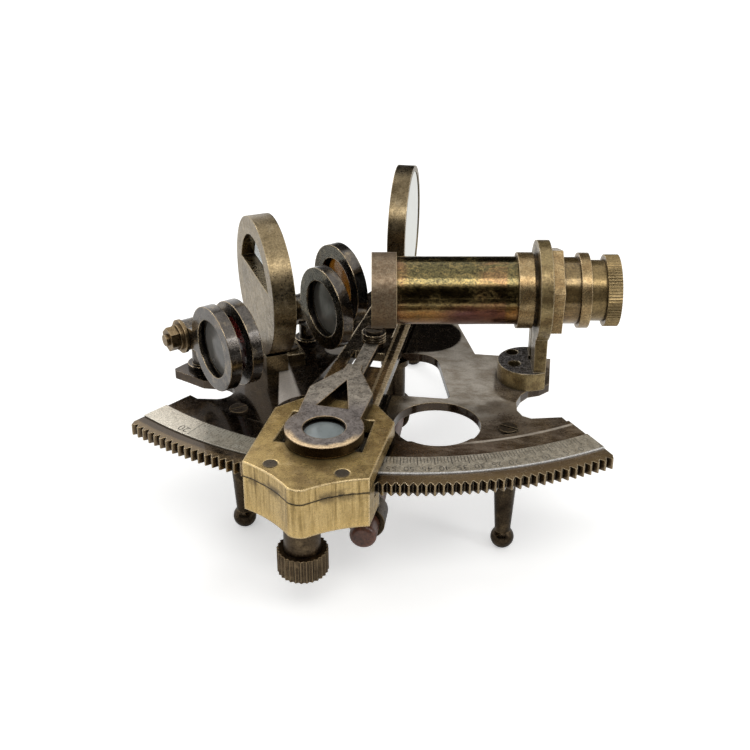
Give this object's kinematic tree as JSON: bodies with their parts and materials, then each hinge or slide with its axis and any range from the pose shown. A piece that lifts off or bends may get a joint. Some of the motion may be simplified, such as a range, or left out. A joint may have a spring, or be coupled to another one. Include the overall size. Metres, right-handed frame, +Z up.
{
  "type": "sextant",
  "caption": "Small brass desk sextant lying on three turned feet, with toothed limb, swinging index arm, two mirrors, folding shades, telescope and a wooden handle.",
  "frame": {"origin": "centre of the rear foot's flat sole, on the surface the sextant stands on", "axes": "+Z up, -Y from the rear foot towards the toothed limb and its box, +X towards the telescope's eyepiece"},
  "size_m": [0.116, 0.1397, 0.0734],
  "materials": {
    "bronze_dark": "dark lacquered bronze-brown, glossy",
    "scale_silver": "silvered, engraved divisions",
    "leg_brass": "darkened brass, turned",
    "screw_brass": "darkened brass",
    "rosewood": "varnished rosewood",
    "arm_brass": "aged brass",
    "box_brass": "brushed antique brass, stained",
    "knob_brass": "knurled, darkened",
    "magnifier_metal": "blackened, worn bright at the edges",
    "lens_glass": "polished",
    "mirror_rim": "brushed brass, patinated",
    "mirror_silver": "silvered glass",
    "clear_glass": "polished, clear",
    "shade_metal": "blackened, worn bright at the edges",
    "grey_glass": "grey filter glass",
    "red_glass": "red filter glass",
    "amber_glass": "amber filter glass",
    "nut_brass": "turned, aged",
    "tube_brass": "golden-brown lacquer, mottled",
    "collar_brass": "matt brushed brass",
    "cap_brass": "knurled brass"
  },
  "bodies": {
    "frame": {"frame_plate": "bronze_dark", "scale_arc": "scale_silver", "leg_left": "leg_brass", "leg_right": "leg_brass", "leg_rear": "leg_brass", "leg_screws": "screw_brass", "handle": "rosewood", "handle_post_front": "leg_brass", "handle_post_rear": "leg_brass", "horizon_mirror_foot": "mirror_rim", "horizon_mirror_frame": "mirror_rim", "horizon_mirror": "mirror_silver", "horizon_clear_glass": "clear_glass", "horizon_foot_screw": "screw_brass", "horizon_shade_post": "shade_metal", "horizon_shade_bolt": "nut_brass", "horizon_shade_nut": "nut_brass", "horizon_shade_washers": "nut_brass", "index_shade_post": "shade_metal", "index_shade_bolt": "nut_brass", "index_shade_nut": "nut_brass", "index_shade_washers": "nut_brass", "telescope_bracket": "mirror_rim", "bracket_screws": "screw_brass", "telescope_tube": "tube_brass", "objective_cell": "collar_brass", "objective_lens": "lens_glass", "rear_collar": "collar_brass", "lock_nut": "collar_brass", "tube_end_ring": "collar_brass"},
    "index_arm": {"index_arm": "arm_brass", "pivot_stud": "screw_brass", "pivot_nut": "screw_brass", "arm_cover": "box_brass", "cover_rivets": "screw_brass", "drive_housing": "box_brass", "vernier_plate": "scale_silver", "magnifier_washers": "shade_metal", "magnifier_screw": "screw_brass", "index_mirror_foot": "arm_brass", "index_mirror_frame": "mirror_rim", "index_mirror": "mirror_silver"},
    "drive_knob": {"pinion_shaft": "knob_brass", "drive_knob": "knob_brass"},
    "magnifier": {"magnifier_arm": "magnifier_metal", "reading_lens": "lens_glass", "lens_ring": "magnifier_metal"},
    "horizon_shade_dark": {"horizon_shade_dark": "shade_metal", "horizon_shade_dark_glass": "grey_glass"},
    "horizon_shade_light": {"horizon_shade_light": "shade_metal", "horizon_shade_light_glass": "red_glass"},
    "index_shade_dark": {"index_shade_dark": "shade_metal", "index_shade_dark_glass": "grey_glass"},
    "index_shade_light": {"index_shade_light": "shade_metal", "index_shade_light_glass": "amber_glass"},
    "eyepiece": {"draw_tube": "cap_brass", "eyepiece_cap": "cap_brass", "eye_lens": "lens_glass"}
  },
  "joints": [
    {"name": "arm_swing", "type": "hinge", "parent": "frame", "child": "index_arm", "pos_m": [0, -0.022, 0.0344], "axis": [0, 0, 1], "range_deg": [-9, 27.5]},
    {"name": "knob_turn", "type": "hinge", "parent": "index_arm", "child": "drive_knob", "pos_m": [-0.01158, -0.1252, 0.0344], "axis": [0, 0, 1], "range_deg": [-204.5, 624.7]},
    {"name": "magnifier_swing", "type": "hinge", "parent": "index_arm", "child": "magnifier", "pos_m": [-0.00392, -0.0613, 0.0379], "axis": [0, 0, 1], "range_deg": [-2, 14]},
    {"name": "horizon_dark_swing", "type": "hinge", "parent": "frame", "child": "horizon_shade_dark", "pos_m": [-0.0483, -0.0717, 0.044], "axis": [-0.7593, -0.6508, 0], "range_deg": [0, 70]},
    {"name": "horizon_light_swing", "type": "hinge", "parent": "frame", "child": "horizon_shade_light", "pos_m": [-0.0483, -0.0717, 0.044], "axis": [-0.7593, -0.6508, 0], "range_deg": [0, 70]},
    {"name": "index_dark_swing", "type": "hinge", "parent": "frame", "child": "index_shade_dark", "pos_m": [-0.0233, -0.0535, 0.044], "axis": [-0.7593, -0.6508, 0], "range_deg": [0, 70]},
    {"name": "index_light_swing", "type": "hinge", "parent": "frame", "child": "index_shade_light", "pos_m": [-0.0233, -0.0535, 0.044], "axis": [-0.7593, -0.6508, 0], "range_deg": [0, 70]},
    {"name": "draw_tube_slide", "type": "slide", "parent": "frame", "child": "eyepiece", "axis": [0.9905, 0.1374, 0], "range_m": [-0.0035, 0.008]}
  ],
  "couplings": [
    {"joint": "knob_turn", "follows": "arm_swing", "ratio": 22.714}
  ]
}
